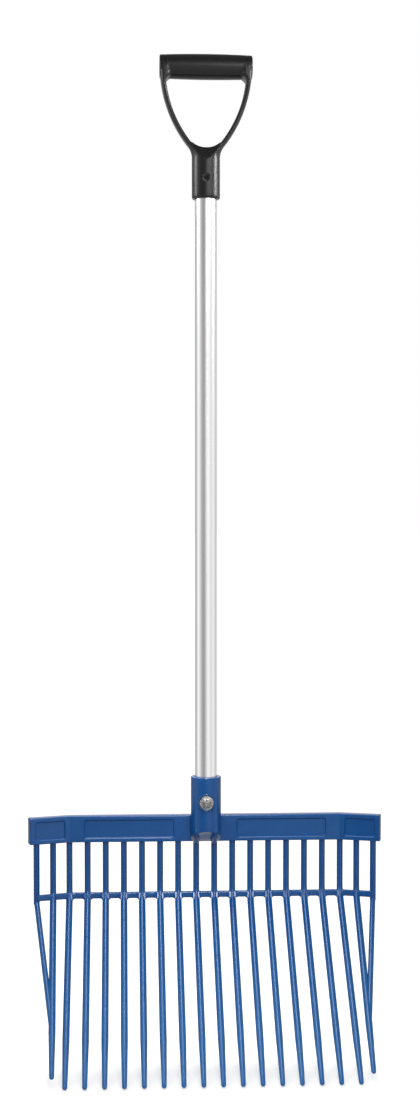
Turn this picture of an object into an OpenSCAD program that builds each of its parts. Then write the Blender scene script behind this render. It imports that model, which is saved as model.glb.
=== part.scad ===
// Manure fork: a moulded head of round tines on a tube shaft with a D grip.
// The shaft is the Z axis, with the middle of its bare length at zero.
// The load side of the head and the tines faces -Y.

/* [Shaft] */
// Outer diameter of the tube
shaft_d = 28; // [24:0.5:32]
// Wall of the tube
shaft_wall = 1.5; // [1:0.1:3]
// Bare length of the tube between the head and the grip
shaft_free = 738; // [400:1:1200]
// Depth of the tube in the head
head_seat = 62; // [45:1:68]
// Depth of the tube in the grip
grip_seat = 48; // [40:1:50]

/* [Tines] */
// Number of tines between the two bends of the rail
main_tines = 16; // [8:2:20]
// Distance between the main tines
tine_pitch = 23.5; // [18:0.5:30]
// Diameter of the posts and tines
tine_d = 8; // [6:0.2:9]
// Diameter of the tine tips
tip_d = 6; // [4:0.2:6.4]
// Length of the taper at the tip of a tine
taper_len = 62; // [20:1:120]
// Length of a main tine from the bend to its tip
tine_len = 273; // [200:1:350]
// Length of a wing tine from the bend to its tip
wing_tine_len = 257; // [200:1:330]
// Forward lean of the tines from the line of the shaft
tine_lean = 48; // [30:1:60]
// Radius of the bend between a post and its tine
bend_r = 24; // [16:1:30]
// Thickening of the bend over the tine, on each side
bend_swell = 0.2; // [0.1:0.1:0.5]
// Inward turn of the wing tines
wing_toe = 1.6; // [0:0.1:3]

/* [Rail and rib] */
// Height of the rail
rail_h = 34; // [30:1:50]
// Rail in front of the middle of the posts
rail_front = 7; // [6:0.5:9]
// Rail behind the middle of the posts
rail_back = 6; // [5:0.5:9]
// Depth of the recessed panels in the rail
panel_depth = 2; // [1:0.1:2.5]
// Rail left above and below a panel
panel_edge = 5.2; // [4:0.1:10]
// Rail left between a panel and the socket
panel_socket_gap = 21; // [10:1:30]
// Rail left between a main panel and the bend
panel_bend_gap = 19; // [8:1:30]
// Rail left at both ends of a wing panel
panel_wing_gap = 7; // [5:0.5:10]
// Corner radius of the panels
panel_r = 3; // [1:0.5:5]
// Height of the windows between the rail and the rib
window_h = 66; // [50:1:90]
// Height of the cross rib
rib_h = 8; // [6:0.5:12]
// Thickness of the cross rib
rib_t = 5.6; // [4:0.2:7]
// Rounding of the rib's long edges
rib_r = 1.6; // [0.5:0.1:1.8]
// Fillet under the rib beside each tine
rib_fillet = 3.5; // [2:0.5:5]

/* [Wings] */
// Forward angle of the wings
wing_angle = 16; // [10:1:40]
// Distance between the posts along a wing
wing_pitch = 21.8; // [18:0.1:30]
// Rail past the last post of a wing
wing_end = 10; // [8:0.5:20]
// Post of a wing end below the rib
wing_post_drop = 5; // [2:0.5:10]
// Diameter of the brace from a wing end to its tine
brace_d = 7.2; // [5:0.2:7.6]
// Distance from the bend to the place where the brace meets the tine
brace_reach = 192; // [120:1:210]

/* [Head socket] */
// Outer diameter of the socket
socket_d = 39; // [36:0.5:46]
// Height of the socket's mouth above the rail
socket_rise = 53; // [48:1:80]
// Distance from the shaft's axis back to the middle of the posts
post_back = 19.5; // [18:0.5:24]
// Rise of the slanted socket bottom from the rail's lower edge to the front
chin_rise = 18; // [10:1:22]
// Diameter of the two ridges that carry the middle posts on along the slanted bottom
ridge_d = 7.4; // [5:0.2:7.8]
// Widening of the socket's mouth
mouth_chamfer = 1.6; // [0.5:0.1:2.2]
// Bolt below the mouth of the socket
bolt_drop = 31; // [22:1:34]
// Diameter of the bolt boss
boss_d = 23; // [21:0.5:26]
// Boss in front of the socket
boss_proud = 1.2; // [0.5:0.1:3]
// Boss behind the socket
boss_back = 4.5; // [3:0.5:7]
// Depth of the bolt head's recess
head_recess = 1.6; // [0.5:0.1:2.5]

/* [Bolt and nut] */
// Thread diameter of the bolt
bolt_d = 8; // [6:0.5:8]
// Collar diameter of the bolt head
bolt_head_d = 17.8; // [15:0.1:18]
// Thickness of the collar
bolt_collar_t = 1.6; // [1:0.1:2.5]
// Dome diameter of the bolt head
bolt_dome_d = 15; // [12:0.1:16]
// Height of the dome over the collar
bolt_dome_h = 2.6; // [1.5:0.1:4]
// Length of the cross recess across the dome
cross_len = 8; // [5:0.1:10]
// Width of the cross recess
cross_w = 1.6; // [1:0.1:2.4]
// Depth of the cross recess
cross_depth = 2; // [1:0.1:3]
// Width of the nut across its flats
nut_af = 13; // [10:0.1:14]
// Thickness of the nut
nut_t = 6.5; // [5:0.1:8]
// Bolt end past the nut
bolt_past = 1; // [0.5:0.1:4]

/* [Grip] */
// Outer diameter of the grip's socket
grip_socket_d = 36; // [34:0.5:42]
// Rounding of the socket's rim, cut as a chamfer
grip_rim = 1; // [0.4:0.1:1.6]
// Height of the D opening's lowest point over the socket's rim
grip_open_z = 64; // [60:1:70]
// Height of the hand bar's middle over the socket's rim
bar_z = 167; // [155:1:180]
// Width of the grip over the ends of the hand bar
bar_len = 118; // [110:1:126]
// Diameter of the hand bar in the middle
bar_d = 32; // [30:0.5:36]
// Diameter of the hand bar at its ends
bar_end_d = 29.5; // [26:0.5:29.5]
// Chamfer at the ends of the hand bar
bar_chamfer = 1.2; // [0.5:0.1:2]
// Depth and width of the ring groove beside each end of the bar
bar_groove = 0.6; // [0.3:0.1:1]
// Thickness of the arms
arm_t = 6.6; // [6.2:0.1:8]
// Depth of the arms, front to back
arm_depth = 21; // [16:0.5:24]
// Start of the neck's flat front and back over the socket's rim
neck_cut_z = 46; // [36:1:52]
// Radius of the arms' middle line
arm_r = 157; // [150:1:165]
// Step from the end of the hand bar in to the arm
arm_inset = 0.6; // [0.3:0.1:2]
// Edge rounding of the arms
arm_round = 3; // [1:0.2:3]
// Outer radius where the arms run into the socket
neck_r = 24; // [14:1:30]
// Corner radius of the opening under the hand bar
open_corner_r = 6; // [3:0.5:10]
// Screw above the rim of the socket
grip_screw_z = 25; // [18:1:36]
// Diameter of the dish round the screw
dish_d = 11; // [9:0.5:14]
// Depth of the dish round the screw
dish_depth = 1; // [0.4:0.1:1.4]

/* [Grip screw] */
// Head diameter of the screw
screw_head_d = 6.4; // [5:0.1:7]
// Head height of the screw
screw_head_t = 1.4; // [1:0.1:1.6]
// Thread diameter of the screw
screw_d = 3.5; // [3:0.1:4]
// Thread of the screw inside the tube
screw_past = 5; // [2:0.5:9]
// Width of the screw's slot
screw_slot_w = 0.9; // [0.6:0.1:1.2]
// Depth of the screw's slot
screw_slot_depth = 0.7; // [0.4:0.1:1]

/* [Hidden] */
function tine_name(i) = str("tine_", i < 9 ? "0" : "", i + 1);
SIDES = ["right", "left"];
$fn = 48;
// Gap round the tube, the bolt, the nut and the screws
tube_fit = 0.15;
bolt_fit = 0.2;
thread_fit = 0.1;
// Overrun of cuts past a face
over = 2;
// Depth to which joined shapes run into each other, and fillets into their faces
lap = 1;
blend_lap = 0.2;

// Heights on the shaft's axis
head_z = -shaft_free / 2;
grip_z = shaft_free / 2;
bolt_z = head_z - bolt_drop;
rail_top = head_z - socket_rise;
rail_bottom = rail_top - rail_h;
rib_top = rail_bottom - window_h;
rib_bottom = rib_top - rib_h;

// Bend of a tine: its vertex, where it starts and ends, and how far it has come forward at the vertex
bend_z = rib_top - rib_h / 2;
bend_d = tine_d + 2 * bend_swell;
bend_tangent = bend_r * tan(tine_lean / 2);
bend_start = bend_z + bend_tangent;
bend_sag = bend_r - sqrt(bend_r * bend_r - bend_tangent * bend_tangent);

// Plan of the rail: the bend, the wing's length and the points of its outline
bend_x = (main_tines - 1) / 2 * tine_pitch;
wing_posts = 2;
wing_len = wing_posts * wing_pitch + wing_end;
wing_along = [cos(wing_angle), -sin(wing_angle)];
wing_out = [sin(wing_angle), cos(wing_angle)];
function on_wing(run, back = 0) = [bend_x, post_back] + run * wing_along + back * wing_out;
function flip(p) = [-p.x, p.y];
mitre_share = tan(wing_angle / 2);
rail_half = [
    [bend_x - rail_front * mitre_share, post_back - rail_front],
    on_wing(wing_len, -rail_front),
    on_wing(wing_len, rail_back),
    [bend_x + rail_back * mitre_share, post_back + rail_back],
];
rail_plan = concat(rail_half, [for (i = [len(rail_half) - 1:-1:0]) flip(rail_half[i])]);

// Where the brace of the right wing starts and meets its tine
toe_ahead = [-sin(wing_toe), -cos(wing_toe)];
brace_low = concat(
    on_wing(wing_pitch) + brace_reach * sin(tine_lean) * toe_ahead,
    bend_z - brace_reach * cos(tine_lean));
brace_top = concat(on_wing(wing_posts * wing_pitch), rib_bottom - wing_post_drop + brace_d / 2);

// Socket: its slanted bottom runs from the front edge back to the rail, and the bolt seats lie along Y
socket_r = socket_d / 2;
bore_d = shaft_d + 2 * tube_fit;
chin_front = [-socket_r, rail_bottom + chin_rise];
chin_back = [post_back - rail_front, rail_bottom];
boss_front_y = -socket_r - boss_proud;
bolt_seat_y = boss_front_y + head_recess;
nut_seat_y = socket_r + boss_back - nut_t;
bolt_end_y = nut_seat_y + nut_t + bolt_past;

// Grip: the bar's barrel, and the arms as arcs about a point beside the bar
bar_half = bar_len / 2;
barrel_sag = (bar_d - bar_end_d) / 2;
barrel_r = (bar_half * bar_half + barrel_sag * barrel_sag) / (2 * barrel_sag);
arm_in_r = arm_r - arm_t / 2;
arm_out_r = arm_r + arm_t / 2;
arm_x = arm_out_r - bar_half + arm_inset;
// Round bottom of the opening, which runs into the inner side of both arms
open_h = bar_z - grip_open_z;
open_r = (arm_in_r * arm_in_r - arm_x * arm_x - open_h * open_h) / (2 * (arm_in_r - open_h));
open_top = grip_open_z + open_r - open_r * (open_h - open_r) / (arm_in_r - open_r);
// Flare of the socket, a hollow curve that runs into the outer side of both arms
flare_x = grip_socket_d / 2 + neck_r;
flare_drop = sqrt(pow(arm_out_r + neck_r, 2) - pow(flare_x + arm_x, 2));
flare_z = bar_z - flare_drop;
flare_share = arm_out_r / (arm_out_r + neck_r);
flare_top = [(flare_x + arm_x) * flare_share - arm_x, bar_z - flare_drop * flare_share];
neck_top = (flare_top.y + open_top) / 2;
arm_sweep = asin((bar_z - (flare_z + grip_open_z) / 2) / arm_r);
grip_bore_d = shaft_d + 2 * tube_fit;
screw_seat_y = -grip_socket_d / 2 + dish_depth + screw_head_t;

// A rod along -Z with a tapered, rounded tip
module tine_rod(length) {
    rotate([180, 0, 0])
        rotate_extrude()
            intersection() {
                union() {
                    polygon([
                        [0, 0],
                        [tine_d / 2, 0],
                        [tine_d / 2, length - taper_len],
                        [tip_d / 2, length - tip_d / 2],
                        [0, length - tip_d / 2],
                    ]);
                    translate([0, length - tip_d / 2])
                        circle(d = tip_d);
                }
                square([tine_d, length]);
            }
}

// A post from under the rail down to the bend, then the bend and the tine
module bent_tine(length) {
    translate([0, 0, bend_start - lap])
        cylinder(d = tine_d, h = rail_bottom - bend_start + lap);
    translate([0, -bend_r, bend_start])
        rotate([-90, 0, 90])
            rotate_extrude(angle = tine_lean)
                translate([bend_r, 0])
                    circle(d = bend_d);
    translate([0, -bend_tangent * sin(tine_lean), bend_z - bend_tangent * cos(tine_lean)])
        rotate([-tine_lean, 0, 0])
            translate([0, 0, lap])
                tine_rod(length - bend_tangent + lap);
}

// A straight round rod between two points
module rod(from, to, d) {
    run = to - from;
    translate(from)
        rotate([0, acos(run.z / norm(run)), atan2(run.y, run.x)])
            cylinder(d = d, h = norm(run));
}

// Main tine, counted from the left
module main_tine(i) {
    translate([i * tine_pitch - bend_x, post_back, 0])
        bent_tine(tine_len);
}

// Tine of the right wing
module wing_tine() {
    translate(on_wing(wing_pitch))
        rotate([0, 0, -wing_toe])
            bent_tine(wing_tine_len);
}

// End post of the right wing
module wing_post() {
    translate(concat(on_wing(wing_posts * wing_pitch), rib_bottom - wing_post_drop))
        cylinder(d = tine_d, h = rail_bottom - rib_bottom + wing_post_drop);
}

// End post of the right wing and the brace that runs from it to the wing's tine
module wing_brace() {
    difference() {
        union() {
            wing_post();
            rod(brace_top, brace_low, brace_d);
        }
        wing_tine();
    }
}

// Rounded rectangle about the origin
module round_rect(w, h, r) {
    square([w - 2 * r, h], center = true);
    square([w, h - 2 * r], center = true);
    for (x = [-1, 1], y = [-1, 1])
        translate([x * (w / 2 - r), y * (h / 2 - r)])
            circle(r);
}

// A recessed panel seen from the front, cut into the plane y = 0 towards +Y
module panel_cut(w) {
    translate([0, panel_depth, 0])
        rotate([90, 0, 0])
            linear_extrude(panel_depth + over)
                round_rect(w, rail_h - 2 * panel_edge, panel_r);
}

// Panels of the right half of the rail, front and back
module rail_panels() {
    panel_in = socket_r + panel_socket_gap;
    panel_out = bend_x - panel_bend_gap;
    middle_z = (rail_top + rail_bottom) / 2;
    wing_w = wing_len - 2 * panel_wing_gap;
    for (back = [0, 1]) {
        face = back ? rail_back : -rail_front;
        translate([(panel_in + panel_out) / 2, post_back + face, middle_z])
            rotate([0, 0, back * 180])
                panel_cut(panel_out - panel_in);
        translate(concat(on_wing(wing_len / 2, face), middle_z))
            rotate([0, 0, back * 180 - wing_angle])
                panel_cut(wing_w);
    }
}

// Rail with both wings, its recessed panels cut in
module rail() {
    difference() {
        translate([0, 0, rail_bottom])
            linear_extrude(rail_h)
                polygon(rail_plan);
        rail_panels();
        mirror([1, 0, 0]) rail_panels();
    }
}

// Cross rib along X from the origin
module rib_bar(length) {
    rotate([90, 0, 90])
        linear_extrude(length)
            round_rect(rib_t, rib_h, rib_r);
}

// Hollow corner under the rib on the right side of a tine, in the front half of its flat underside
module rib_corner() {
    wedge_w = bend_d / 2 + rib_fillet;
    wedge_depth = rib_t / 2 - rib_r;
    translate([0, 0, rib_bottom])
        rotate([90, 0, 0])
            linear_extrude(wedge_depth)
                difference() {
                    translate([0, -rib_fillet])
                        square([wedge_w, rib_fillet + rib_r]);
                    translate([wedge_w - blend_lap, blend_lap - rib_fillet])
                        circle(rib_fillet);
                }
}

// Rib between a main tine and the next one on its right
module rib_link(i) {
    difference() {
        translate([i * tine_pitch - bend_x, post_back - bend_sag, 0]) {
            translate([0, 0, bend_z])
                rib_bar(tine_pitch);
            rib_corner();
            translate([tine_pitch, 0, 0])
                mirror([1, 0, 0]) rib_corner();
        }
        main_tine(i);
        main_tine(i + 1);
    }
}

// Rib of the right wing, through the wing's tine to its end post
module wing_rib() {
    difference() {
        translate(concat(on_wing(0, -bend_sag), bend_z))
            rotate([0, 0, -wing_angle])
                rib_bar(wing_posts * wing_pitch);
        main_tine(main_tines - 1);
        wing_tine();
        wing_post();
    }
}

// Rib through the bends that ties the tines together
module cross_rib() {
    color("royalblue") {
        for (i = [0:main_tines - 2])
            rib_link(i);
        for (side = [0, 1])
            mirror([side, 0, 0]) wing_rib();
    }
}

// Socket: a round collar cut off below by a slanted plane, with the middle posts carried on along it
module socket_body() {
    intersection() {
        translate([0, 0, rail_bottom])
            cylinder(d = socket_d, h = head_z - rail_bottom);
        translate([-socket_d / 2, 0, 0])
            rotate([90, 0, 90])
                linear_extrude(socket_d)
                    polygon([
                        [-socket_d, head_z],
                        chin_front,
                        chin_back,
                        [socket_d, rail_bottom],
                        [socket_d, head_z],
                    ]);
    }
    translate([0, 0, bolt_z])
        rotate([90, 0, 0])
            translate([0, 0, -socket_r - boss_back])
                cylinder(d = boss_d, h = socket_d + boss_back + boss_proud);
    for (side = [-1, 1]) {
        ridge_x = side * tine_pitch / 2;
        rod(concat(ridge_x, chin_back), concat(ridge_x, chin_front + [ridge_d, 0]), ridge_d);
    }
}

// Everything cut out of the socket: tube bore, mouth, bolt hole, head recess and nut pocket
module socket_cuts() {
    translate([0, 0, head_z - head_seat])
        cylinder(d = bore_d, h = head_seat + over);
    translate([0, 0, head_z - mouth_chamfer])
        cylinder(d1 = bore_d, d2 = bore_d + 2 * mouth_chamfer, h = mouth_chamfer);
    translate([0, nut_seat_y + over, bolt_z])
        rotate([90, 0, 0])
            cylinder(d = bolt_d + 2 * bolt_fit, h = nut_seat_y - bolt_seat_y + 2 * over);
    translate([0, bolt_seat_y, bolt_z])
        rotate([90, 0, 0])
            cylinder(d = bolt_head_d + 2 * bolt_fit, h = head_recess + over);
    translate([0, nut_seat_y, bolt_z])
        rotate([-90, 0, 0])
            cylinder(d = (nut_af + 2 * bolt_fit) / cos(30), h = nut_t + over, $fn = 6);
}

// Rail and socket of the head
module head_rail() {
    color("royalblue")
        difference() {
            union() {
                rail();
                socket_body();
            }
            socket_cuts();
        }
}

// Tube cut square at both ends, drilled for the bolt and the grip screw
module shaft() {
    tube_low = head_z - head_seat;
    tube_len = head_seat + shaft_free + grip_seat;
    color("gainsboro")
        difference() {
            translate([0, 0, tube_low])
                cylinder(d = shaft_d, h = tube_len);
            translate([0, 0, tube_low - over])
                cylinder(d = shaft_d - 2 * shaft_wall, h = tube_len + 2 * over);
            translate([0, shaft_d, bolt_z])
                rotate([90, 0, 0])
                    cylinder(d = bolt_d + 2 * bolt_fit, h = 2 * shaft_d);
            translate([0, 0, grip_z + grip_screw_z])
                rotate([90, 0, 0])
                    cylinder(d = screw_d + 2 * thread_fit, h = shaft_d);
        }
}

// Pan head bolt with a collar and a cross recess
module head_bolt() {
    dome_r = (bolt_dome_d * bolt_dome_d / 4 + bolt_dome_h * bolt_dome_h) / (2 * bolt_dome_h);
    color("silver")
        translate([0, bolt_seat_y, bolt_z])
            rotate([90, 0, 0])
                difference() {
                    union() {
                        translate([0, 0, bolt_seat_y - bolt_end_y])
                            cylinder(d = bolt_d, h = bolt_end_y - bolt_seat_y);
                        cylinder(d = bolt_head_d, h = bolt_collar_t);
                        translate([0, 0, bolt_collar_t])
                            rotate_extrude()
                                intersection() {
                                    translate([0, bolt_dome_h - dome_r])
                                        circle(dome_r, $fn = 96);
                                    square([bolt_dome_d, bolt_dome_h]);
                                }
                    }
                    for (turn = [0, 90])
                        rotate([0, 0, turn])
                            translate([
                                -cross_len / 2,
                                -cross_w / 2,
                                bolt_collar_t + bolt_dome_h - cross_depth,
                            ])
                                cube([cross_len, cross_w, cross_depth + over]);
                }
}

// Hexagon nut in the pocket at the back of the socket
module head_nut() {
    color("silver")
        translate([0, nut_seat_y, bolt_z])
            rotate([-90, 0, 0])
                difference() {
                    cylinder(d = nut_af / cos(30), h = nut_t, $fn = 6);
                    translate([0, 0, -over])
                        cylinder(d = bolt_d + 2 * thread_fit, h = nut_t + 2 * over);
                }
}

// Hand bar along X: a barrel with chamfered ends and a fine ring groove over each arm
module hand_bar() {
    chamfer_x = bar_half - bar_chamfer;
    chamfer_r = bar_end_d / 2 - bar_chamfer;
    groove_y = bar_half - arm_inset - arm_t;
    rotate([0, 90, 0])
        rotate_extrude()
            difference() {
                intersection() {
                    translate([bar_d / 2 - barrel_r, 0])
                        circle(barrel_r, $fn = 720);
                    polygon([
                        [0, -bar_half],
                        [chamfer_r, -bar_half],
                        [bar_d / 2, -chamfer_x - bar_end_d / 2 + bar_d / 2],
                        [bar_d / 2, chamfer_x + bar_end_d / 2 - bar_d / 2],
                        [chamfer_r, bar_half],
                        [0, bar_half],
                    ]);
                }
                for (side = [-1, 1])
                    translate([bar_end_d / 2 - bar_groove, side * groove_y - bar_groove / 2])
                        square([bar_d, bar_groove]);
            }
}

// Right arm: a rounded strip bent round the point beside the bar
module grip_arm() {
    translate([-arm_x, 0, bar_z])
        rotate([-90, 0, 0])
            rotate_extrude(angle = arm_sweep, $fn = 360)
                translate([arm_r, 0])
                    round_rect(arm_t, arm_depth, arm_round);
}

// Hollow corner between the right arm and the underside of the bar
module bar_corner() {
    under_z = bar_z - bar_end_d / 2;
    corner_x = sqrt(arm_in_r * arm_in_r - pow(bar_end_d / 2, 2)) - arm_x;
    corner_depth = arm_depth - 2 * arm_round;
    translate([0, corner_depth / 2, 0])
        rotate([90, 0, 0])
            linear_extrude(corner_depth)
                difference() {
                    translate([corner_x - open_corner_r, under_z - open_corner_r])
                        square(open_corner_r + lap);
                    translate([corner_x - open_corner_r + blend_lap, under_z - open_corner_r + blend_lap])
                        circle(open_corner_r);
                }
}

// Round socket that flares into the arms and thins to their depth under the opening
module grip_neck() {
    difference() {
        intersection() {
            rotate_extrude()
                difference() {
                    polygon([
                        [0, 0],
                        [grip_socket_d / 2 - grip_rim, 0],
                        [grip_socket_d / 2, grip_rim],
                        [grip_socket_d / 2, flare_z],
                        [flare_top.x, flare_z],
                        [flare_top.x, neck_top],
                        [0, neck_top],
                    ]);
                    translate([flare_x, flare_z])
                        circle(neck_r, $fn = 96);
                }
            translate([-flare_x, 0, 0])
                rotate([90, 0, 90])
                    linear_extrude(2 * flare_x)
                        polygon([
                            [-grip_socket_d / 2 - lap, -over],
                            [grip_socket_d / 2 + lap, -over],
                            [grip_socket_d / 2 + lap, neck_cut_z],
                            [arm_depth / 2, flare_top.y],
                            [arm_depth / 2, neck_top + over],
                            [-arm_depth / 2, neck_top + over],
                            [-arm_depth / 2, flare_top.y],
                            [-grip_socket_d / 2 - lap, neck_cut_z],
                        ]);
        }
        translate([0, 0, grip_open_z + open_r])
            rotate([90, 0, 0])
                cylinder(r = open_r, h = 2 * grip_socket_d, center = true, $fn = 96);
    }
}

module d_grip() {
    color("#2b2a2b")
        translate([0, 0, grip_z])
            difference() {
                union() {
                    grip_neck();
                    translate([0, 0, bar_z])
                        hand_bar();
                    for (side = [0, 1])
                        mirror([side, 0, 0]) {
                            grip_arm();
                            bar_corner();
                        }
                }
                translate([0, 0, -over])
                    cylinder(d = grip_bore_d, h = grip_seat + over);
                translate([0, 0, grip_screw_z])
                    rotate([90, 0, 0]) {
                        cylinder(d = screw_d + 2 * thread_fit, h = grip_socket_d);
                        translate([0, 0, -screw_seat_y])
                            cylinder(d = screw_head_d + 2 * thread_fit, h = grip_socket_d);
                        translate([0, 0, grip_socket_d / 2 - dish_depth])
                            cylinder(d = dish_d, h = dish_depth + over);
                    }
            }
}

// Self-tapping screw that holds the grip on the tube
module grip_screw() {
    screw_in = screw_past + shaft_wall - shaft_d / 2 - screw_seat_y;
    color("dimgray")
        translate([0, screw_seat_y, grip_z + grip_screw_z])
            rotate([90, 0, 0])
                difference() {
                    union() {
                        cylinder(d = screw_head_d, h = screw_head_t);
                        translate([0, 0, -screw_in])
                            cylinder(d = screw_d, h = screw_in);
                    }
                    translate([-screw_head_d, -screw_slot_w / 2, screw_head_t - screw_slot_depth])
                        cube([2 * screw_head_d, screw_slot_w, screw_slot_depth + over]);
                }
}

head_rail();
cross_rib();
for (i = [0:main_tines - 1])
    color("royalblue") main_tine(i);
for (s = [0, 1]) {
    color("royalblue") mirror([s, 0, 0]) wing_tine();
    color("royalblue") mirror([s, 0, 0]) wing_brace();
}
shaft();
d_grip();
head_bolt();
head_nut();
grip_screw();
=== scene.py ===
import math

import bmesh
import bpy
from mathutils import Matrix, Vector


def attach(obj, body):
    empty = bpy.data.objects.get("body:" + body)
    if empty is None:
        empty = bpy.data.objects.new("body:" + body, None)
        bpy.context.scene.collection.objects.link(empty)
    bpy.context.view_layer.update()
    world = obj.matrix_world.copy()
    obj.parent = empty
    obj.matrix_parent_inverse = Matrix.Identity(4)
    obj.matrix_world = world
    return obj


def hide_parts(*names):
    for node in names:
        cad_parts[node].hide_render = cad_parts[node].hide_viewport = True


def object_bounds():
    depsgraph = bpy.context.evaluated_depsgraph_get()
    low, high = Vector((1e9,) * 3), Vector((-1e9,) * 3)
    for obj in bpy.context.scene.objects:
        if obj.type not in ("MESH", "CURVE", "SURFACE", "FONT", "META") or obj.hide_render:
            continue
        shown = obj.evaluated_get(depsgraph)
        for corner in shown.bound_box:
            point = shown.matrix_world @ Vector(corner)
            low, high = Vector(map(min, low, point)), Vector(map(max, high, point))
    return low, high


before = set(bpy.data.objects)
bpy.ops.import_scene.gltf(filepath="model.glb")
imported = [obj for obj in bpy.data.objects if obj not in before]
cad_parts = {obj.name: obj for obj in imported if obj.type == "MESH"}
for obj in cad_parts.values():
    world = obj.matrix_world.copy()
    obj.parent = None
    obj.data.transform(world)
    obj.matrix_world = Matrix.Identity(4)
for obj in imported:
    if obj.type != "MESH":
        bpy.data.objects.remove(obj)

cad_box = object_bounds()

# Rail and socket: the top of the head, which is one moulding of royal blue plastic with a half-gloss skin.
# The rail is a deep bar with recessed panels and two wings turned forward. The socket takes the tube, and
# two middle posts run on as ridges under its slanted bottom. All edges leave the mould slightly round.
rail_low, rail_high = -0.456, -0.422
rail_front, rail_back, rail_edge = -0.007, 0.006, 0.0010
post_y = 0.0195
bend_x, bend_step = 0.17625, 0.0015
wing_turn = math.radians(16)
wing_pitch, wing_end = 0.0218, 0.010
panel_start, panel_gap, wing_panel_gap = 0.0405, 0.019, 0.007
panel_edge, panel_deep, panel_round, panel_slope = 0.0052, 0.002, 0.003, 0.0012
socket_r, socket_top, socket_edge, socket_rows = 0.0195, -0.369, 0.0007, 5
bore_r, bore_low, mouth = 0.01415, -0.431, 0.0004
chin_rise, chin_back = 0.018, post_y + rail_front
ridge_r, ridge_x = 0.0037, 0.01175
bolt_z = -0.400
boss_r, boss_seat, boss_edge = 0.0115, 0.0168, 0.0009
boss_front, boss_back = 0.0212, 0.024
recess_r, recess_floor = 0.0095, 0.0191
pocket_half, pocket_floor = 0.0067, 0.0175
along_x = Vector((1, 0, 0))


class Shade:
    """A socket of a node tree. Sums, differences and products of sockets add Math nodes to the tree."""

    def __init__(self, tree, socket=None):
        self.tree = tree
        self.socket = socket

    def node(self, kind, settings=None, inputs=None, out=0):
        """A new node: its settings come first, then the numbers or sockets that it takes in."""
        made = self.tree.nodes.new("ShaderNode" + kind)
        for name, value in (settings or {}).items():
            if name == "stops":
                ramp = made.color_ramp
                while len(ramp.elements) < len(value):
                    ramp.elements.new(0.5)
                for stop, (place, colour) in zip(ramp.elements, value):
                    stop.position = place
                    stop.color = (*colour, 1)
            else:
                setattr(made, name, value)
        for name, value in (inputs or {}).items():
            if isinstance(value, Shade):
                self.tree.links.new(value.socket, made.inputs[name])
            else:
                made.inputs[name].default_value = value
        return Shade(self.tree, made.outputs[out] if made.outputs else None)

    def math(self, operation, *values):
        return self.node("Math", {"operation": operation}, dict(enumerate(values)))

    def __add__(self, other):
        return self.math("ADD", self, other)

    def __sub__(self, other):
        return self.math("SUBTRACT", self, other)

    def __rsub__(self, other):
        return self.math("SUBTRACT", other, self)

    def __mul__(self, other):
        return self.math("MULTIPLY", self, other)

    __radd__ = __add__
    __rmul__ = __mul__

    def ease(self, low, high):
        """0 below low, 1 above high, smooth between."""
        return self.node("MapRange", {"interpolation_type": "SMOOTHSTEP"},
                         {"Value": self, "From Min": low, "From Max": high})

    def noise(self, scale, detail=2.0, stretch=(1, 1, 1)):
        """Noise over a place, finer along an axis with a larger stretch."""
        place = self.node("Mapping", None, {"Vector": self, "Scale": stretch})
        return self.node("TexNoise", None, {"Vector": place, "Scale": scale, "Detail": detail}, "Fac")

    def mix(self, first, second):
        """The first colour where this is 0 and the second where it is 1."""
        return self.node("Mix", {"data_type": "RGBA"}, {0: self, 6: first, 7: second}, 2)

    def bump(self, strength, distance):
        return self.node("Bump", None, {"Height": self, "Strength": strength, "Distance": distance})


def finish(name, constants, build):
    """A material whose varying sockets come from build and whose other sockets are plain numbers."""
    material = bpy.data.materials.new(name)
    material.use_nodes = True
    tree = material.node_tree
    tree.nodes.clear()
    sheet = Shade(tree)
    place = sheet.node("TexCoord", out="Object")
    surface = sheet.node("BsdfPrincipled", None, {**constants, **build(place)})
    sheet.node("OutputMaterial", None, {"Surface": surface})
    return material


def blue_skin(place):
    """Slightly clouded, with a painted highlight: paler in fine lines along the tines towards their tips."""
    deep, pale = (0.0015, 0.057, 0.208, 1), (0.026, 0.148, 0.372, 1)
    deep_above, pale_below = -0.52, -0.74
    height = place.node("SeparateXYZ", None, {0: place}, "Z")
    # Painted highlight: fine pale lines that grow stronger towards the tips of the tines.
    tip_sheen = 1 - height.ease(pale_below, deep_above)
    cloud = place.noise(28.0, 3.0)
    fine = place.noise(240.0)
    sheen_lines = place.noise(1.0, 2.0, (1100, 9, 9))
    tint = tip_sheen * (0.20 + sheen_lines * 0.45) + cloud * 0.2 + fine * 0.06 - 0.10
    return {
        "Base Color": tint.mix(deep, pale),
        "Roughness": 0.14 + cloud * 0.05 + fine * 0.04,
        "Normal": place.noise(260.0).bump(0.12, 0.00003),
    }


blue_plastic = finish("blue_plastic", {"Specular IOR Level": 0.38}, blue_skin)


def skin(rings, joined=False, strips=False):
    """Points and faces of a skin through rings. Its ends are joined, or capped, in strips if they fold."""
    count, last = len(rings[0]), len(rings) - 1
    points = [point for ring in rings for point in ring]
    pairs = [(row, row + 1) for row in range(last)]
    if joined:
        pairs.append((last, 0))
    faces = [(one * count + i, one * count + (i + 1) % count, two * count + (i + 1) % count, two * count + i)
             for one, two in pairs for i in range(count)]
    if joined:
        return points, faces
    for first in (0, last * count):
        if strips:
            # The first and the last strip come to a point, so a corner that is named twice is dropped.
            for i in range(count // 2):
                corners = first + i, first + i + 1, first + count - i - 1, first + (count - i) % count
                faces.append(tuple(dict.fromkeys(corners)))
        else:
            faces.append(tuple(range(first, first + count)))
    return points, faces


round_sides = 96


def turned(profile, sides=round_sides, place=Matrix.Identity(4)):
    """Rings of a profile of radius and height, turned about Z from the front and then placed."""
    turns = [2 * math.pi * i / sides for i in range(sides)]
    return [[place @ Vector((radius * math.sin(turn), -radius * math.cos(turn), height)) for turn in turns]
            for radius, height in profile]


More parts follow.
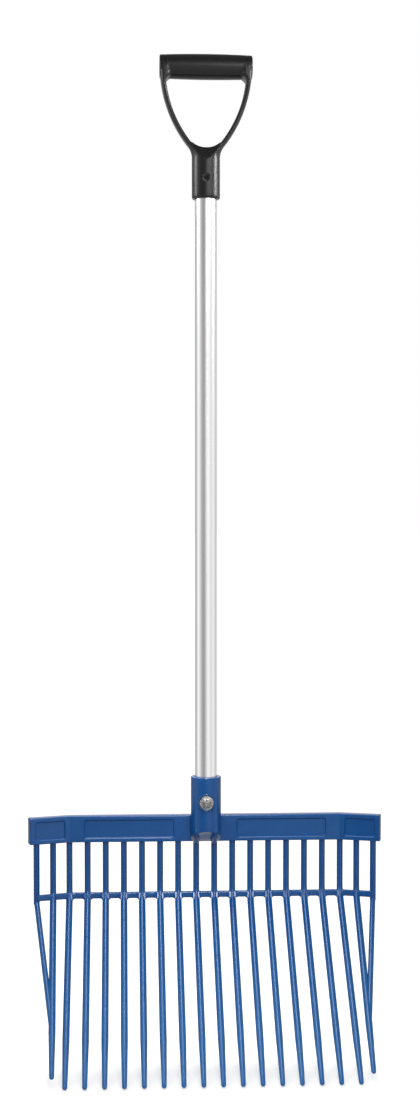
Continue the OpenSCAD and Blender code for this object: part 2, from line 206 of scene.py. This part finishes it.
def quarter(radius, steps=4):
    """Steps of a quarter round: its inset from the side and its drop from the end."""
    turns = [math.pi / 2 * i / steps for i in range(steps + 1)]
    return [(radius * (1 - math.cos(turn)), radius * (1 - math.sin(turn))) for turn in turns]


tip_turns = [math.radians(turn) for turn in (20, 40, 58, 73, 84)]


def rod(line, radii, across, tip=True, sides=24):
    """Closed skin of a round rod along a line of points, with a rounded tip if it is asked for."""
    line, radii = list(line), list(radii)
    if tip:
        end, ahead, radius = line[-1], (line[-1] - line[-2]).normalized(), radii[-1]
        for turn in tip_turns:
            line.append(end + ahead * radius * math.sin(turn))
            radii.append(radius * math.cos(turn))
    turns = [2 * math.pi * i / sides for i in range(sides)]
    rings = []
    for i, (point, radius) in enumerate(zip(line, radii)):
        ahead = (line[min(i + 1, len(line) - 1)] - line[max(i - 1, 0)]).normalized()
        up = ahead.cross(across).normalized()
        over = up.cross(ahead)
        rings.append([point + radius * (over * math.cos(turn) + up * math.sin(turn)) for turn in turns])
    return skin(rings)


def form(name, shells):
    """An object made of closed skins, with their faces turned outwards."""
    work = bmesh.new()
    for points, faces in shells:
        corners = [work.verts.new(point) for point in points]
        for face in faces:
            work.faces.new([corners[i] for i in face])
    bmesh.ops.recalc_face_normals(work, faces=work.faces)
    mesh = bpy.data.meshes.new(name)
    work.to_mesh(mesh)
    work.free()
    made = bpy.data.objects.new(name, mesh)
    bpy.context.scene.collection.objects.link(made)
    return made


sharp_angle = math.radians(34)


def dress(made, material, slot, *nodes):
    """Smooths a piece but for its sharp edges, gives it its material and puts it in place of CAD nodes."""
    made.data.shade_smooth()
    made.data.set_sharp_from_angle(angle=sharp_angle)
    made.data.materials.append(material)
    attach(made, "root")
    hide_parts(*nodes)


def rail_place(run):
    """Point of the rail's middle line and the way to its back, at a run along it from the head's middle."""
    side = math.copysign(1, run)
    past = abs(run) - bend_x
    if abs(past) < 1e-6:
        # At the bend itself the section is a mitre, halfway between the rail and its wing.
        return Vector((run, post_y, 0)), Vector((side * math.tan(wing_turn / 2), 1, 0))
    if past < 0:
        return Vector((run, post_y, 0)), Vector((0, 1, 0))
    return (Vector((side * (bend_x + past * math.cos(wing_turn)), post_y - past * math.sin(wing_turn), 0)),
            Vector((side * math.sin(wing_turn), math.cos(wing_turn), 0)))


wing_run = bend_x + 2 * wing_pitch + wing_end
rail_middle, rail_half = (rail_low + rail_high) / 2, (rail_high - rail_low) / 2
rail_round = quarter(rail_edge, 3)
panel_half = rail_half - panel_edge
panels = ((panel_start, bend_x - panel_gap), (bend_x + wing_panel_gap, wing_run - wing_panel_gap))
# A panel's lip: the height past its edge, and the share of the panel's depth that is reached there.
panel_lip = ((0.0010, 0.0), (0.0005, 0.05), (0.0, 0.2), (-0.0005, 0.5), (-panel_slope, 1.0))
# Sections of the rail about the end of a panel, by how far inside that end they are.
panel_steps = (-0.0006, 0.0, 0.0003, 0.0007, 0.0012, 0.0018, 0.0024, 0.003)


def rail_ring(run, shrink):
    """Section of the rail: round edges, and the recess of a panel in front and behind where there is one."""
    deep, high = 0.0, panel_half - panel_round
    for start, end in panels:
        inside = min(abs(run) - start, end - abs(run))
        if inside > 0:
            near = max(panel_round - inside, 0)
            deep = panel_deep * min(inside / panel_slope, 1)
            high += math.sqrt(panel_round ** 2 - near ** 2)
    lip = [(high + past, share * deep) for past, share in panel_lip]
    face = [(-height, sunk) for height, sunk in lip] + lip[::-1]
    front, rear, half = rail_front + shrink, rail_back - shrink, rail_half - shrink
    loop = [(front + drop, inset - half) for inset, drop in rail_round]
    loop += [(front + sunk, height) for height, sunk in face]
    loop += [(front + inset, half - drop) for inset, drop in rail_round]
    loop += [(rear - drop, half - inset) for inset, drop in rail_round]
    loop += [(rear - sunk, height) for height, sunk in reversed(face)]
    loop += [(rear - inset, drop - half) for inset, drop in rail_round]
    place, back = rail_place(run)
    return [place + back * depth + Vector((0, 0, rail_middle + height)) for depth, height in loop]


rail_runs = {0.0, bend_x - bend_step, bend_x, bend_x + bend_step}
for start, end in panels:
    for step in panel_steps:
        rail_runs |= {start + step, end - step}
half_rail = [(run, 0) for run in sorted(rail_runs)] + [(wing_run - drop, inset) for inset, drop in rail_round]
whole_rail = [(-run, shrink) for run, shrink in reversed(half_rail[1:])] + half_rail
rail_shell = skin([rail_ring(run, shrink) for run, shrink in whole_rail])


def chin(y):
    """Height of the socket's slanted bottom."""
    return max(rail_low, rail_low + chin_rise * (chin_back - y) / (chin_back + socket_r))


socket_rings = turned([(bore_r, bore_low), (bore_r, socket_top - mouth), (bore_r + mouth, socket_top)])
socket_rings += turned([(socket_r - drop, socket_top - inset) for inset, drop in quarter(socket_edge, 5)])
wall_round = turned([(socket_r, 0)])[0]
wall_top = socket_top - socket_edge
for row in range(1, socket_rows):
    share = row / socket_rows
    socket_rings.append([Vector((point.x, point.y, wall_top + share * (chin(point.y) + rail_edge - wall_top)))
                         for point in wall_round])
for inset, drop in rail_round:
    narrow = 1 - inset / socket_r
    socket_rings.append([Vector((point.x * narrow, point.y * narrow, chin(point.y) + drop))
                         for point in wall_round])


def boss(place, way, profile):
    """Rings of a boss that starts inside the socket's wall and follows a profile of radius and height."""
    foot = [Vector((point.x, way * math.sqrt(boss_seat ** 2 - point.x ** 2), point.z))
            for point in turned([(boss_r, 0)], place=place)[0]]
    return [foot] + turned(profile, place=place)


quarter_turn = Matrix.Rotation(math.radians(90), 4, "Z")
forward = Matrix.Translation((0, 0, bolt_z)) @ Matrix.Rotation(math.radians(90), 4, "X") @ quarter_turn
rearward = Matrix.Translation((0, 0, bolt_z)) @ Matrix.Rotation(math.radians(-90), 4, "X") @ quarter_turn
boss_round = quarter(boss_edge)
head_profile = [(boss_r - inset, boss_front - drop) for inset, drop in boss_round]
head_profile += [(recess_r + drop, boss_front - inset) for inset, drop in boss_round]
head_profile += [(recess_r, recess_floor)]
head_boss = boss(forward, -1, head_profile)
nut_boss = boss(rearward, 1, [(boss_r - inset, boss_back - drop) for inset, drop in boss_round])
for height in (boss_back, pocket_floor):
    hexagon = []
    for i in range(round_sides):
        turn = 2 * math.pi * i / round_sides
        reach = pocket_half / math.cos(turn % (math.pi / 3) - math.pi / 6)
        hexagon.append(rearward @ Vector((reach * math.sin(turn), -reach * math.cos(turn), height)))
    nut_boss.append(hexagon)
head_shells = [rail_shell] + [skin(rings, strips=True) for rings in (socket_rings, head_boss, nut_boss)]
for side in (-1, 1):
    ridge = [Vector((side * ridge_x, chin_back, rail_low)),
             Vector((side * ridge_x, 2 * ridge_r - socket_r, rail_low + chin_rise))]
    head_shells.append(rod(ridge, (ridge_r, ridge_r), along_x))
head_rail = form("moulded_head_rail", head_shells)
dress(head_rail, blue_plastic, "head_plastic", "head_rail")

# Tines: sixteen between the bends of the rail and one on each wing, moulded with the rail.
# Each is a round post that swells into the rail and bends forward at the rib.
# From there on it is a little stouter, and it thins to a round tip.
tine_pitch, tine_count = 0.0235, 16
tine_r, shank_r, tip_r, taper = 0.004, 0.0044, 0.003, 0.062
tine_length, wing_tine_length = 0.273, 0.257
bend_z, bend_r, lean = -0.526, 0.024, math.radians(48)
bend_reach = bend_r * math.tan(lean / 2)
bend_rows, taper_rows = 14, 6
post_root, post_fillet = 0.002, 0.0014
wing_toe = math.radians(1.6)
# Heights and radii of a post where it leaves the rail.
post_top = [(rail_low + post_root, tine_r + post_fillet)]
post_top += [(rail_low - down, tine_r + swell) for down, swell in quarter(post_fillet)]


def tine(length, x, y, toe):
    """Closed skin of a tine that leaves the rail at x, y and turns in by toe."""
    ahead = Vector((-math.sin(toe), -math.cos(toe), 0))
    root = Vector((x, y, 0))
    path = [(0, height, radius) for height, radius in post_top]
    for row in range(bend_rows + 1):
        turn = lean * row / bend_rows
        path.append((bend_r * (1 - math.cos(turn)), bend_z + bend_reach - bend_r * math.sin(turn),
                     tine_r + (shank_r - tine_r) * row / bend_rows))
    for row in range(taper_rows + 1):
        share = row / taper_rows
        run = length - taper + share * (taper - tip_r)
        path.append((run * math.sin(lean), bend_z - run * math.cos(lean),
                     shank_r + share * (tip_r - shank_r)))
    line = [root + ahead * out + Vector((0, 0, height)) for out, height, radius in path]
    return rod(line, [radius for out, height, radius in path], Vector((math.cos(toe), -math.sin(toe), 0)))


for i in range(tine_count):
    node = f"tine_{i + 1:02d}"
    made = form("moulded_" + node, [tine(tine_length, i * tine_pitch - bend_x, post_y, 0)])
    dress(made, blue_plastic, "head_plastic", node)
for side, hand in ((1, "right"), (-1, "left")):
    place = rail_place(side * (bend_x + wing_pitch))[0]
    made = form("moulded_wing_tine_" + hand, [tine(wing_tine_length, place.x, place.y, side * wing_toe)])
    dress(made, blue_plastic, "head_plastic", "wing_tine_" + hand)

# Wing braces: the last post of each wing ends in a step, and a slimmer bar runs on to the wing's tine.
# They are part of the same moulding and keep the outer tine from spreading.
post_low, post_edge = -0.535, 0.0008
brace_r, brace_reach = 0.0036, 0.192

for side, hand in ((1, "right"), (-1, "left")):
    place = rail_place(side * (bend_x + 2 * wing_pitch))[0]
    foot = rail_place(side * (bend_x + wing_pitch))[0]
    ahead = Vector((-side * math.sin(wing_toe), -math.cos(wing_toe), 0))
    rows = post_top + [(post_low + drop, tine_r - inset) for inset, drop in quarter(post_edge, 3)]
    post = rod([place + Vector((0, 0, height)) for height, radius in rows],
               [radius for height, radius in rows], along_x, tip=False)
    brace_top = place + Vector((0, 0, post_low + brace_r))
    brace_low = foot + ahead * brace_reach * math.sin(lean)
    brace_low += Vector((0, 0, bend_z - brace_reach * math.cos(lean)))
    brace = rod([brace_top, brace_low], (brace_r, brace_r), along_x, tip=False)
    made = form("moulded_wing_brace_" + hand, [post, brace])
    dress(made, blue_plastic, "head_plastic", "wing_brace_" + hand)

# Cross rib: a bar through the bends of all the tines, moulded with them.
# It has round edges and runs into each tine below with a hollow corner.
rib_half, rib_thick = 0.004, 0.0028
rib_fillet, rib_forward = 0.0035, 1.4
rib_sag = bend_r - math.sqrt(bend_r ** 2 - bend_reach ** 2)
rib_round = quarter(0.0016, 3)
# Sections of the rib about a tine, by how far they are from the tine's middle.
rib_steps = [0.0, tine_r] + [tine_r + past for past in (0.0003, 0.0008, 0.0015, 0.0024, rib_fillet)]


def rib_ring(run):
    """Section of the rib. Beside a tine its lower edge sinks and follows the tine forward."""
    beside = min(abs(run - i * tine_pitch + bend_x) for i in range(tine_count)) - tine_r
    near = min(max(rib_fillet - beside, 0), rib_fillet)
    sink = rib_fillet - math.sqrt(rib_fillet ** 2 - near ** 2)
    loop = [(drop - rib_thick - rib_forward * sink, inset - rib_half - sink) for inset, drop in rib_round]
    loop += [(inset - rib_thick, rib_half - drop) for inset, drop in rib_round]
    loop += [(rib_thick - drop, rib_half - inset) for inset, drop in rib_round]
    loop += [(rib_thick - inset - rib_forward * sink, drop - rib_half - sink) for inset, drop in rib_round]
    place, back = rail_place(run)
    return [place + back * (depth - rib_sag) + Vector((0, 0, bend_z + height)) for depth, height in loop]


rib_runs = {0.0, bend_x, -bend_x}
for i in range(tine_count):
    for step in rib_steps:
        rib_runs |= {i * tine_pitch - bend_x - step, i * tine_pitch - bend_x + step}
for side in (-1, 1):
    rib_runs |= {side * (bend_x + wing_pitch), side * (bend_x + 2 * wing_pitch)}
made = form("moulded_cross_rib", [skin([rib_ring(run) for run in sorted(rib_runs)])])
dress(made, blue_plastic, "head_plastic", "cross_rib")

# Shaft: a drawn aluminium tube, left bright, seated in the head and in the grip.
# Drawing through the die leaves fine lines along the tube, which break up its reflections.
tube_low, tube_high = -0.431, 0.417
tube_r, tube_wall = 0.014, 0.0015
tube_round = quarter(0.0003, 2)
tube_sides, tube_rows = 128, 12


def drawn_skin(place):
    """Bright, with fine lines along the tube and faint patches."""
    lines = place.noise(1.0, 3.0, (1900, 1900, 5))
    patch = place.noise(9.0, 2.0, (1, 1, 0.4))
    return {
        "Base Color": (lines * 0.7 + patch * 0.3).mix((0.86, 0.85, 0.85, 1), (0.95, 0.94, 0.94, 1)),
        "Roughness": 0.18 + lines * 0.05 + patch * 0.03,
        "Normal": lines.bump(0.04, 0.00001),
    }


drawn_aluminium = finish("drawn_aluminium", {"Metallic": 1.0}, drawn_skin)
tube_profile = [(tube_r - drop, tube_high - inset) for inset, drop in tube_round]
tube_profile += [(tube_r, tube_high - (tube_high - tube_low) * row / tube_rows)
                 for row in range(1, tube_rows)]
tube_profile += [(tube_r - inset, tube_low + drop) for inset, drop in tube_round]
tube_profile += [(tube_r - tube_wall, tube_low), (tube_r - tube_wall, tube_high)]
made = form("drawn_shaft", [skin(turned(tube_profile, tube_sides), joined=True)])
dress(made, drawn_aluminium, "shaft_aluminium", "shaft")

# Head bolt and nut: zinc plated steel, clamped across the socket and the tube.
# The plating shows as small crystals of different brightness.


def rounded(place, height, edge):
    """Normal of a steel part: a fine grain over edges that are slightly round."""
    soft = place.node("Bevel", {"samples": 6}, {"Radius": edge})
    grain = place.noise(2600.0)
    return place.node("Bump", None, {"Height": grain, "Strength": 0.4, "Distance": height, "Normal": soft})


def plated_skin(place):
    """Crystals from dark to light grey."""
    crystal = place.node("TexVoronoi", None, {"Vector": place, "Scale": 620.0}, "Color")
    tone = place.node("SeparateColor", None, {0: crystal}, 0)
    cloud = place.noise(500.0, 3.0)
    return {
        "Base Color": (tone * 0.8 + cloud * 0.3 - 0.05).mix((0.07, 0.07, 0.068, 1), (0.52, 0.52, 0.50, 1)),
        "Roughness": 0.46 + tone * 0.16,
        "Normal": rounded(place, 0.00006, 0.0003),
    }


zinc_plate = finish("zinc_plate", {"Metallic": 1.0}, plated_skin)
for name in ("head_bolt", "head_nut"):
    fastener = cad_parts[name].data
    fastener.materials.clear()
    fastener.materials.append(zinc_plate)

# D grip: one moulding of black plastic, pushed over the tube and held by a screw.
# A barrel-shaped hand bar is carried by two bowed arms, which run together into a round socket.
# Its skin is satin, a little duller where the mould is grained.
grip_z = 0.369
grip_r, grip_bore, grip_seat, grip_rim = 0.018, 0.01415, 0.048, 0.0012
neck_low, neck_step, neck_rows, neck_top = 0.012, 0.0015, 39, 0.0706
flat_low, flat_top, flat_lap, neck_thick = 0.046, 0.06684, 0.001, 0.0105
flare_x, flare_z, flare_r, flare_wide = 0.042, 0.05185, 0.024, 0.02326
opening_z, opening_r, opening_half, opening_sides = 0.08995, 0.02595, 0.04, 128
bar_z, bar_half, bar_r, bar_end_r = 0.167, 0.059, 0.016, 0.01475
bar_round, bar_rows = quarter(0.0012), 40
groove_x, groove = 0.0518, 0.0006
arm_x, arm_r = -0.1019, 0.157
arm_start, arm_sweep, arm_rows = 0.003, math.radians(44), 45
arm_thick, arm_deep, arm_top_deep, arm_crown = 0.0033, 0.0105, 0.0153, 2.7
arm_thins, arm_thinning = 0.08, 0.30
arm_round = quarter(0.003)
corner_r = 0.006
dish_z, dish_r, dish_floor, dish_fall = 0.394, 0.0055, 0.017, 0.0002
screw_r, screw_floor = 0.0033, 0.0156
drill_reach, drill_sides = 0.03, 64
grip_voxel, grip_smooth, grip_passes = 0.0009, 0.5, 12


def black_skin(place):
    """Satin black, faintly clouded and grained."""
    cloud = place.noise(45.0, 3.0)
    fine = place.noise(300.0)
    dark, pale = (0.0085, 0.0070, 0.0074, 1), (0.0140, 0.0118, 0.0124, 1)
    return {
        "Base Color": (cloud * 0.7 + fine * 0.3).mix(dark, pale),
        "Roughness": 0.27 + cloud * 0.06 + fine * 0.03,
        "Normal": place.noise(220.0).bump(0.12, 0.00003),
    }


black_plastic = finish("black_plastic", {"Specular IOR Level": 0.5}, black_skin)


def worked(made, *steps):
    """Runs modifiers on a piece, each a type and its settings, and keeps their result as its mesh."""
    for kind, settings in steps:
        step = made.modifiers.new(kind.lower(), kind)
        for name, value in settings.items():
            setattr(step, name, value)
    mesh = bpy.data.meshes.new_from_object(made.evaluated_get(bpy.context.evaluated_depsgraph_get()))
    made.modifiers.clear()
    made.data = mesh


def neck_ring(height):
    """Section of the neck: a round that widens into the flare and is cut flat in front and behind."""
    wide = grip_r
    if height > flare_z:
        wide = min(flare_x - math.sqrt(flare_r ** 2 - (height - flare_z) ** 2), flare_wide)
    share = min(max((height - flat_low) / (flat_top - flat_low), 0), 1)
    thick = (1 - share) * (grip_r + flat_lap) + share * neck_thick
    ring = turned([(wide, grip_z + height)])[0]
    return [Vector((point.x, math.copysign(min(abs(point.y), thick), point.y), point.z)) for point in ring]


neck_rings = turned([(grip_bore, grip_z + grip_seat), (grip_bore, grip_z)])
neck_rings += turned([(grip_r - drop, grip_z + inset) for inset, drop in quarter(grip_rim)])
neck_rings += [neck_ring(neck_low + neck_step * row) for row in range(neck_rows)] + [neck_ring(neck_top)]
neck = form("neck", [skin(neck_rings, strips=True)])
across = Matrix.Translation((0, 0, grip_z + opening_z)) @ Matrix.Rotation(math.radians(90), 4, "X")
opening_profile = [(opening_r, -opening_half), (opening_r, opening_half)]
cutter = form("opening", [skin(turned(opening_profile, opening_sides, across))])
worked(neck, ("BOOLEAN", {"operation": "DIFFERENCE", "object": cutter, "solver": "EXACT"}))
neck_points = [point.co.copy() for point in neck.data.vertices]
neck_faces = [tuple(face.vertices) for face in neck.data.polygons]


def arm(side):
    """Closed skin of an arm: a rounded strip on an arc, thicker where it meets the bar."""
    rings = []
    for row in range(arm_rows + 1):
        turn = arm_start + (arm_sweep - arm_start) * row / arm_rows
        part = min(max((turn - arm_thins) / arm_thinning, 0), 1)
        deep = arm_top_deep + (arm_deep - arm_top_deep) * part * part * (3 - 2 * part)
        below = arm_r * math.sin(turn) - bar_end_r
        near = min(max(corner_r - below, 0), corner_r)
        swell = corner_r - math.sqrt(corner_r ** 2 - near ** 2)
        loop = [(arm_thick - inset, deep - arm_crown * drop) for inset, drop in arm_round]
        loop += [(drop - arm_thick - swell, deep - arm_crown * inset) for inset, drop in arm_round]
        loop += [(inset - arm_thick - swell, arm_crown * drop - deep) for inset, drop in arm_round]
        loop += [(arm_thick - drop, arm_crown * inset - deep) for inset, drop in arm_round]
        rings.append([Vector((side * (arm_x + (arm_r + out) * math.cos(turn)), y,
                              grip_z + bar_z - (arm_r + out) * math.sin(turn))) for out, y in loop])
    return skin(rings)


def bar_wall(run):
    """Radius of the barrel-shaped bar at a run from its middle."""
    return bar_r - (bar_r - bar_end_r) * (run / bar_half) ** 2


bar_profile = [(bar_end_r - drop, inset - bar_half) for inset, drop in bar_round]
bar_runs = [bar_half * (2 * row / bar_rows - 1) for row in range(1, bar_rows)]
bar_profile += [(bar_wall(run), run) for run in bar_runs]
bar_profile += [(bar_end_r - inset, bar_half - drop) for inset, drop in bar_round]
lengthways = Matrix.Translation((0, 0, grip_z + bar_z)) @ Matrix.Rotation(math.radians(90), 4, "Y")
bar_shell = skin(turned(bar_profile, place=lengthways))
handle = form("moulded_d_grip", [(neck_points, neck_faces), arm(1), arm(-1), bar_shell])
worked(handle, ("REMESH", {"mode": "VOXEL", "voxel_size": grip_voxel}),
       ("SMOOTH", {"factor": grip_smooth, "iterations": grip_passes}))

dish = Matrix.Translation((0, 0, dish_z)) @ Matrix.Rotation(math.radians(90), 4, "X")
dish_profile = [(screw_r, screw_floor), (screw_r, dish_floor), (dish_r, dish_floor + dish_fall),
                (dish_r, drill_reach)]
cuts = [skin(turned(dish_profile, drill_sides, dish))]
groove_floor = bar_wall(groove_x) - groove
groove_out = groove_floor + 2 * groove
for side in (-1, 1):
    middle = side * groove_x
    groove_profile = [(groove_floor, middle - groove / 2), (groove_out, middle - groove),
                      (groove_out, middle + groove), (groove_floor, middle + groove / 2)]
    cuts.append(skin(turned(groove_profile, place=lengthways), joined=True))
drill = form("drill", cuts)
worked(handle, ("BOOLEAN", {"operation": "DIFFERENCE", "object": drill, "solver": "EXACT"}))
for tool in (neck, cutter, drill):
    bpy.data.objects.remove(tool)
dress(handle, black_plastic, "grip_plastic", "d_grip")

# Grip screw: a small self-tapping screw of blackened steel, deep in its dish, coloured darker still as
# painted shade of the dish.
# It goes through the grip's socket into the wall of the tube and keeps the grip from turning.


def blackened_and_shaded_skin(place):
    """Nearly black, with specks where the steel shines through; part of the darkness is painted shade of the
    deep dish.
    """
    speck = place.noise(1800.0, 3.0)
    return {
        "Base Color": speck.mix((0.006, 0.006, 0.006, 1), (0.035, 0.034, 0.034, 1)),
        "Roughness": 0.34 + speck * 0.2,
        "Normal": rounded(place, 0.00003, 0.0002),
    }


blackened_and_shaded_steel = finish("blackened_and_shaded_steel", {"Metallic": 1.0}, blackened_and_shaded_skin)
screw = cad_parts["grip_screw"].data
screw.materials.clear()
screw.materials.append(blackened_and_shaded_steel)

# Studio floor: a matt white sheet just under the tips. To the camera it glows a plain white.
# It glows less in a spot under the tines: a painted shade there, which also lets the faint shadow that they
# leave show.
floor_gap, floor_half = 0.001, 30
floor_z = cad_box[0].z - floor_gap
floor_corners = [(x * floor_half, y * floor_half, floor_z) for x, y in ((-1, -1), (1, -1), (1, 1), (-1, 1))]
floor_mesh = bpy.data.meshes.new("floor")
floor_mesh.from_pydata(floor_corners, [], [(0, 1, 2, 3)])
floor = bpy.data.objects.new("floor", floor_mesh)
bpy.context.scene.collection.objects.link(floor)
floor_paint = bpy.data.materials.new("floor_paint")
floor_paint.use_nodes = True
floor_paint.node_tree.nodes.clear()
paint = Shade(floor_paint.node_tree)
floor_seen = paint.node("LightPath", out="Is Camera Ray")
matt = paint.node("BsdfDiffuse", None, {"Color": (0.72, 0.73, 0.75, 1)})
faint = paint.node("BsdfDiffuse", None, {"Color": (0.50, 0.49, 0.47, 1)})
painted_shade_spot = paint.node("Mapping", None, {"Vector": paint.node("TexCoord", out="Object"),
                                    "Location": (0, 0.16, 0), "Scale": (0.28, 1, 0)})
away = paint.node("VectorMath", {"operation": "LENGTH"}, {0: painted_shade_spot}, "Value")
# Painted shade: the sheet glows darker in the spot under the tines.
glow = away.ease(0.03, 0.12).mix((0.44, 0.45, 0.47, 1), (0.95, 0.95, 0.95, 1))
white = paint.node("Emission", None, {"Color": glow, "Strength": 1.0})
shown = paint.node("AddShader", None, {0: faint, 1: white})
paint.node("OutputMaterial", None,
           {"Surface": paint.node("MixShader", None, {0: floor_seen, 1: matt, 2: shown})})
floor_mesh.materials.append(floor_paint)
floor.visible_glossy = False

# Room: plain white to the camera, and an even dim light on the fork.
# In reflections it has the brighter and darker walls that a studio has around the camera, by their bearing.
room = bpy.data.worlds.new("room")
room.use_nodes = True
room.node_tree.nodes.clear()
bpy.context.scene.world = room
air = Shade(room.node_tree)
look = air.node("TexCoord", out="Generated")
room_seen = air.node("LightPath", out="Is Camera Ray")
mirrored = air.node("LightPath", out="Is Glossy Ray")
look_x = air.node("SeparateXYZ", None, {0: look}, "X")
look_y = air.node("SeparateXYZ", None, {0: look}, "Y")
look_z = air.node("SeparateXYZ", None, {0: look}, "Z")
bearing = air.math("ARCTAN2", look_x, 0 - look_y) * (1 / (2 * math.pi)) + 0.5
walls = air.node("ValToRGB", {"stops": [
    (0.00, (1.00, 1.00, 1.00)),
    (0.04, (0.85, 0.85, 0.85)),
    (0.09, (0.36, 0.36, 0.37)),
    (0.16, (0.50, 0.50, 0.51)),
    (0.23, (1.00, 1.00, 1.00)),
    (0.28, (1.00, 1.00, 1.00)),
    (0.37, (0.45, 0.45, 0.46)),
    (0.43, (0.30, 0.30, 0.31)),
    (0.48, (0.50, 0.50, 0.51)),
    (0.54, (1.00, 1.00, 1.00)),
    (0.59, (1.00, 1.00, 1.00)),
    (0.65, (0.74, 0.74, 0.75)),
    (0.72, (1.00, 1.00, 1.00)),
    (0.81, (0.70, 0.70, 0.71)),
    (0.88, (0.50, 0.50, 0.51)),
    (0.96, (0.85, 0.85, 0.85)),
    (1.00, (1.00, 1.00, 1.00)),
]}, {0: bearing})
low_hall = look_z.ease(-0.75, -0.25).mix((0.58, 0.58, 0.59, 1), walls)
hall = look_z.ease(0.35, 0.80).mix(low_hall, (0.22, 0.22, 0.23, 1))
plain = air.node("Background", None, {"Color": (1, 1, 1, 1), "Strength": 0.38})
bright = air.node("Background", None, {"Color": (1, 1, 1, 1), "Strength": 1.0})
studio = air.node("Background", None, {"Color": hall, "Strength": 1.0})
lit = air.node("MixShader", None, {0: mirrored, 1: plain, 2: studio})
air.node("OutputWorld", None, {"Surface": air.node("MixShader", None, {0: room_seen, 1: lit, 2: bright})})

# Lamps: soft boxes to the left and right of the grip, before it, and above and before the head.
# Each has its place, the point it is aimed at, its width and height, its watts and its spread in degrees.
# A narrow spread is a grid on the box, which keeps its light to the pieces that it is aimed at.
for name, lamp_place, target, size, power, spread in (
    ("lamp_left", (-1.7, 0.15, 0.91), (0, 0, 0.46), (0.60, 0.44), 0.68, 50),
    ("lamp_right", (1.7, -0.18, 0.92), (0, 0, 0.46), (0.60, 0.44), 1.75, 50),
    ("lamp_grip", (0.60, -1.25, 0.83), (0, 0, 0.45), (1.0, 0.36), 3.8, 180),
    ("lamp_head", (-0.12, -0.17, 0.36), (0, -0.07, -0.55), (1.0, 0.25), 1.8, 90),
    ("lamp_tips", (-0.45, -0.48, 0.36), (0, -0.10, -0.60), (0.60, 0.30), 0.45, 90),
    ("lamp_bend", (0.05, -1.25, 0.30), (0, 0, -0.53), (0.28, 0.80), 0.92, 44),
):
    lamp = bpy.data.lights.new(name, "AREA")
    lamp.shape = "RECTANGLE"
    lamp.size, lamp.size_y = size
    lamp.energy = power
    lamp.spread = math.radians(spread)
    stand = bpy.data.objects.new(name, lamp)
    stand.location = lamp_place
    stand.rotation_mode = "QUATERNION"
    stand.rotation_quaternion = (Vector(target) - Vector(lamp_place)).to_track_quat("-Z", "Y")
    stand.visible_camera = False
    bpy.context.scene.collection.objects.link(stand)

# Camera: level with the middle of the shaft, a little to the left of the fork and tipped down slightly.
# The focal length and the height of the picture are in pixels of the photo.
picture_high, focal = 1114, 1650
camera_place = (-0.1083, -2.1125, -0.0125)
yaw, pitch = math.radians(3.077), math.radians(2.0)
sight = Vector((math.sin(yaw) * math.cos(pitch), math.cos(yaw) * math.cos(pitch), -math.sin(pitch)))
lens = bpy.data.cameras.new("camera")
lens.sensor_fit = "VERTICAL"
lens.sensor_height = 36
lens.lens = lens.sensor_height * focal / picture_high
lens.clip_end = 200
camera = bpy.data.objects.new("camera", lens)
camera.location = camera_place
camera.rotation_mode = "QUATERNION"
camera.rotation_quaternion = sight.to_track_quat("-Z", "Y")
bpy.context.scene.collection.objects.link(camera)
bpy.context.scene.camera = camera
bpy.context.scene.view_settings.view_transform = "Standard"
